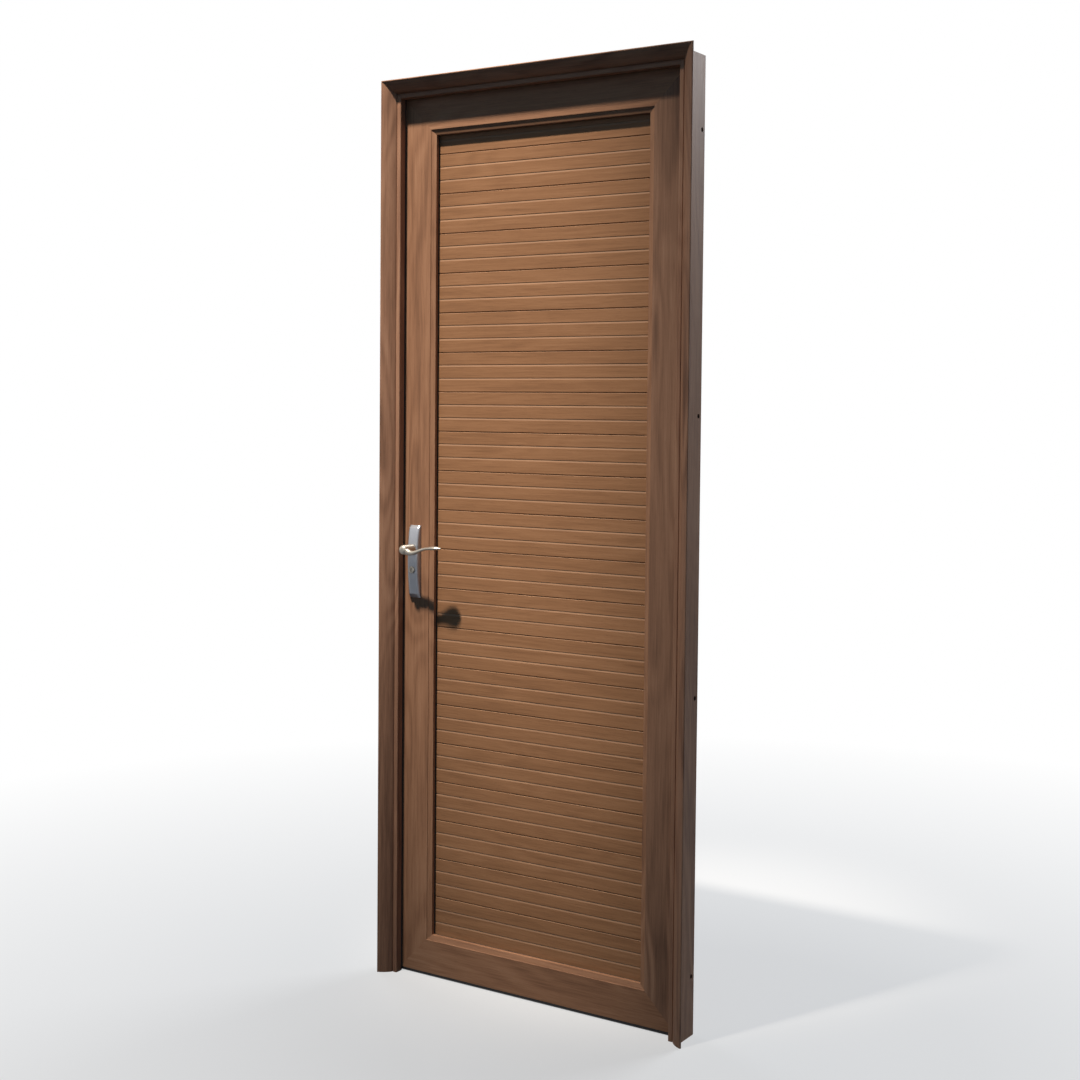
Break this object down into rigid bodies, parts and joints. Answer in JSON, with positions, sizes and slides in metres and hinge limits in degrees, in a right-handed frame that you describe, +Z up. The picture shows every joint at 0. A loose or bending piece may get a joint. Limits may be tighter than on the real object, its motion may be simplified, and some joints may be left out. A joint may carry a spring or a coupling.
{
  "type": "aluminium swing door",
  "caption": "Swing door with a mitred hollow leaf, tongue-and-groove plank infill and a lever handle, hung in a three-sided frame that is fixed to the wall opening.",
  "frame": {"origin": "on the outer side face of the hinge jamb's body, which lies against the wall, at floor level and mid depth of the frame", "axes": "+Z up, +X from the lock jamb to the hinge jamb, +Y from the outside face of the door to the hinged side, towards which the leaf opens"},
  "size_m": [0.815, 0.1496, 2.1],
  "materials": {
    "frame_foil": "satin wood-grain foil on aluminium, walnut brown",
    "leaf_foil": "satin wood-grain foil on aluminium, walnut brown",
    "bead_foil": "satin wood-grain foil on aluminium, walnut brown",
    "plank_foil": "satin wood-grain foil on aluminium, walnut brown",
    "rubber": "matt black",
    "satin_nickel": "satin nickel",
    "steel": "zinc plated",
    "hinge_paint": "satin dark bronze"
  },
  "bodies": {
    "frame": {"frame_head": "frame_foil", "frame_jamb_hinge": "frame_foil", "frame_jamb_lock": "frame_foil", "stop_gasket": "rubber", "strike_plate": "steel", "hinge_jamb_halves": "hinge_paint"},
    "leaf": {"leaf_rail_top": "leaf_foil", "leaf_rail_bottom": "leaf_foil", "leaf_stile_hinge": "leaf_foil", "leaf_stile_lock": "leaf_foil", "bead_top": "bead_foil", "bead_bottom": "bead_foil", "bead_hinge": "bead_foil", "bead_lock": "bead_foil", "infill_gasket": "rubber", "bottom_seal": "rubber", "hinge_leaf_halves": "hinge_paint", "mortise_lock": "steel", "lock_cylinder": "satin_nickel", "escutcheon_outside": "satin_nickel", "escutcheon_inside": "satin_nickel", "plank_01": "plank_foil", "plank_02": "plank_foil", "plank_03": "plank_foil", "plank_04": "plank_foil", "plank_05": "plank_foil", "plank_06": "plank_foil", "plank_07": "plank_foil", "plank_08": "plank_foil", "plank_09": "plank_foil", "plank_10": "plank_foil", "plank_11": "plank_foil", "plank_12": "plank_foil", "plank_13": "plank_foil", "plank_14": "plank_foil", "plank_15": "plank_foil", "plank_16": "plank_foil", "plank_17": "plank_foil", "plank_18": "plank_foil", "plank_19": "plank_foil", "plank_20": "plank_foil", "plank_21": "plank_foil"},
    "lever_set": {"lever_outside": "satin_nickel", "lever_inside": "satin_nickel", "spindle": "steel"}
  },
  "joints": [
    {"name": "leaf_swing", "type": "hinge", "parent": "frame", "child": "leaf", "pos_m": [-0.017, 0.051, 1.0355], "axis": [0, 0, -1], "range_deg": [0, 100]},
    {"name": "handle_turn", "type": "hinge", "parent": "leaf", "child": "lever_set", "pos_m": [-0.726, 0.022, 1.011], "axis": [0, 1, 0], "range_deg": [0, 40], "stiffness_Nm_per_rad": 1.5, "springref_deg": -20.05}
  ]
}
